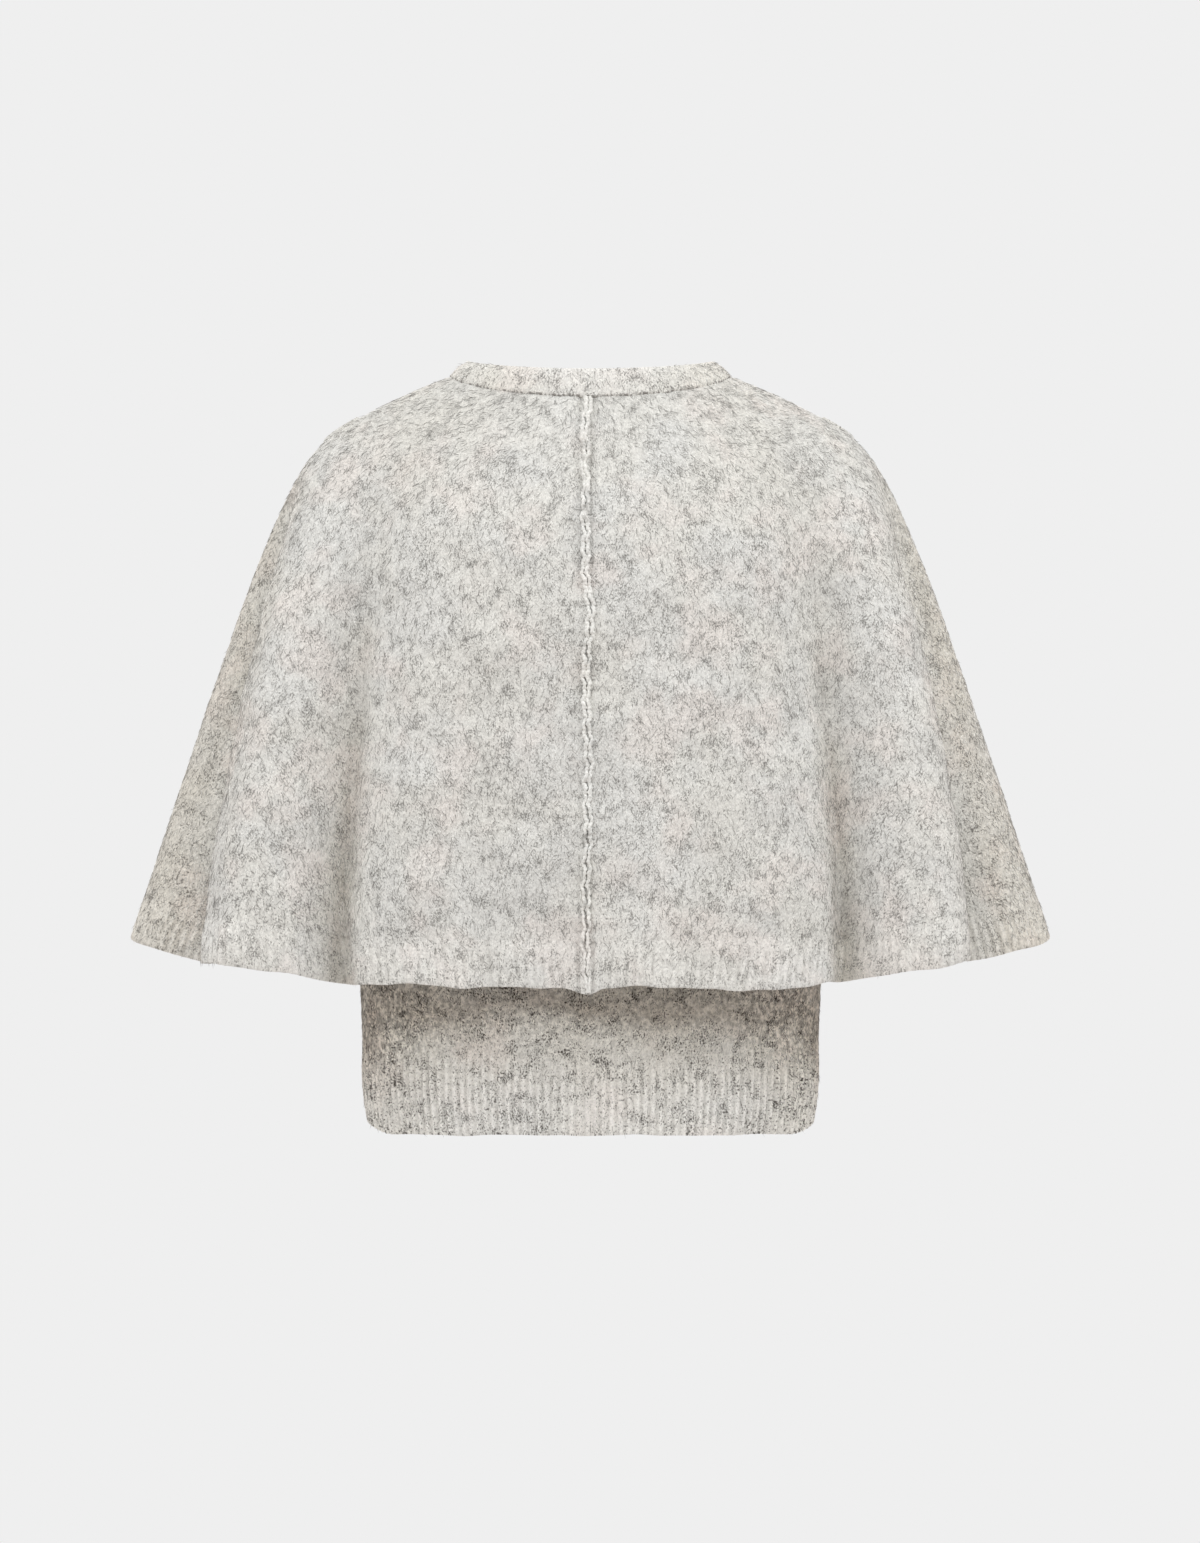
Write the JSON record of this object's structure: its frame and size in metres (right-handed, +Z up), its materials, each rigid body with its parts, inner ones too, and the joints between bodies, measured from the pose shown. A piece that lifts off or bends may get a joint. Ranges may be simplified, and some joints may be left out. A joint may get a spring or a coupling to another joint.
{
  "type": "cardigan with a shoulder cape",
  "caption": "Hollow worn-shape knitted cardigan: a wide shoulder cape with a raised centre back seam over a straight body, with a ribbed neckband, ribbed hems and a buttoned front band.",
  "frame": {"origin": "the middle of the neckline at the height of the side neck points, where the wearer's shoulders hold the garment", "axes": "+Z up, the front faces -Y, +X is the wearer's left"},
  "size_m": [0.7518, 0.3076, 0.6258],
  "materials": {
    "brushed_knit": "matte brushed melange wool knit",
    "rib_knit": "matte ribbed melange wool knit",
    "button": "satin, like horn or shell"
  },
  "bodies": {
    "root": {"cape_back_left": "brushed_knit", "cape_back_right": "brushed_knit", "cape_front_left": "brushed_knit", "cape_front_right": "brushed_knit", "body_back": "brushed_knit", "body_front_left": "brushed_knit", "body_front_right": "brushed_knit", "neckband": "rib_knit", "cape_rib_back_left": "rib_knit", "cape_rib_back_right": "rib_knit", "cape_rib_front_left": "rib_knit", "cape_rib_front_right": "rib_knit", "hem_rib_back": "rib_knit", "hem_rib_front_left": "rib_knit", "hem_rib_front_right": "rib_knit", "buttonhole_band": "rib_knit", "button_band": "rib_knit", "button_1": "button", "button_2": "button", "button_3": "button", "button_4": "button", "button_5": "button", "button_6": "button", "button_7": "button"}
  },
  "joints": []
}
